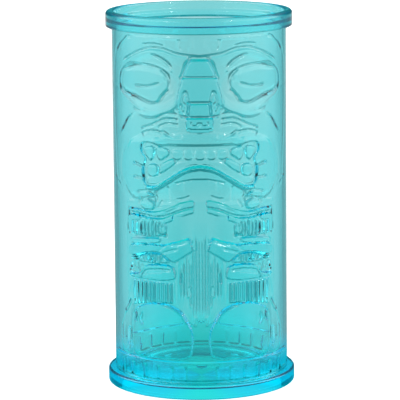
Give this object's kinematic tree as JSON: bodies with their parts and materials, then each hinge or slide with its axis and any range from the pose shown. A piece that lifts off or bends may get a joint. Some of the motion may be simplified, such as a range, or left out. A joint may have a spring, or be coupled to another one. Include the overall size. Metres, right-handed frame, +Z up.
{
  "type": "tiki tumbler",
  "caption": "Straight clear plastic drinking tumbler with a rounded lip band, a foot ring and a carved tiki face and figure moulded in relief on the front.",
  "frame": {"origin": "centre of the foot, on the table", "axes": "+Z up the cup's axis, -Y towards the viewer of the front face, +X to the viewer's right"},
  "size_m": [0.0764, 0.0764, 0.1524],
  "materials": {
    "turquoise_plastic": "clear moulded plastic tinted turquoise, polished, with the face and figure standing in low relief"
  },
  "bodies": {
    "root": {"rim_band": "turquoise_plastic", "carved_wall": "turquoise_plastic", "floor_disc": "turquoise_plastic", "foot_ring": "turquoise_plastic"}
  },
  "joints": []
}
